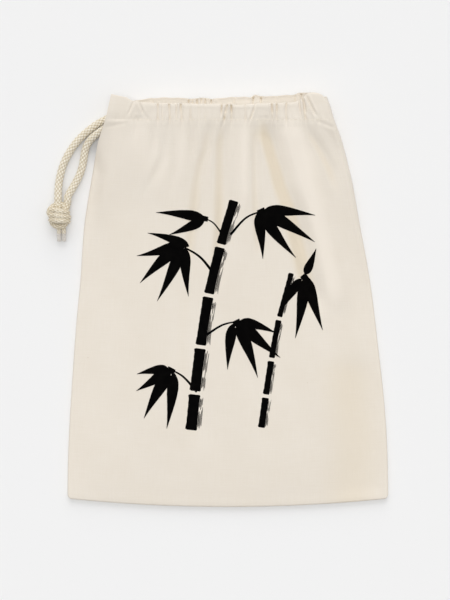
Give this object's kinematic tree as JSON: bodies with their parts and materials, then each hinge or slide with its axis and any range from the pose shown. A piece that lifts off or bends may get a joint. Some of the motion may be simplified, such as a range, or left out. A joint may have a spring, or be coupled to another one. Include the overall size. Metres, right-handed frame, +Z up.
{
  "type": "cotton drawstring gift bag",
  "caption": "Flat cotton drawstring bag lying empty, its mouth gathered on a braided cord that runs round the hem and leaves at one side, both ends tied in a knot.",
  "frame": {"origin": "on the surface that the bag lies on, at the middle of the bag's outline without the free cord", "axes": "+X across the bag to its right side as seen from the front, +Y from the bottom seam to the mouth, +Z up from the back panel to the front panel"},
  "size_m": [0.2661, 0.324, 0.0212],
  "materials": {
    "cotton_cloth": "unbleached plain-weave cotton with small flecks, matt",
    "cotton_cord": "soft braided cotton cord, matt",
    "sewing_thread": "off-white cotton sewing thread",
    "tail_tape": "thin clear tape pressed round the cord's ends"
  },
  "bodies": {
    "bag": {"back_panel": "cotton_cloth", "front_panel": "cotton_cloth", "left_side_seam": "cotton_cloth", "right_side_seam": "cotton_cloth", "bottom_seam": "cotton_cloth", "front_casing": "cotton_cloth", "back_casing": "cotton_cloth", "front_hem_thread": "sewing_thread", "back_hem_thread": "sewing_thread"},
    "drawcord": {"right_ear": "cotton_cloth", "cord_front_run": "cotton_cord", "cord_turn": "cotton_cord", "cord_back_run": "cotton_cord", "outer_strand": "cotton_cord", "inner_strand": "cotton_cord", "cord_knot": "cotton_cord", "outer_tail": "cotton_cord", "outer_tail_tip": "tail_tape", "inner_tail": "cotton_cord", "inner_tail_tip": "tail_tape"}
  },
  "joints": [
    {"name": "drawcord_pull", "type": "slide", "parent": "bag", "child": "drawcord", "axis": [-1, 0, 0], "range_m": [0, 0.07], "deforming": ["front_casing", "back_casing"]}
  ]
}
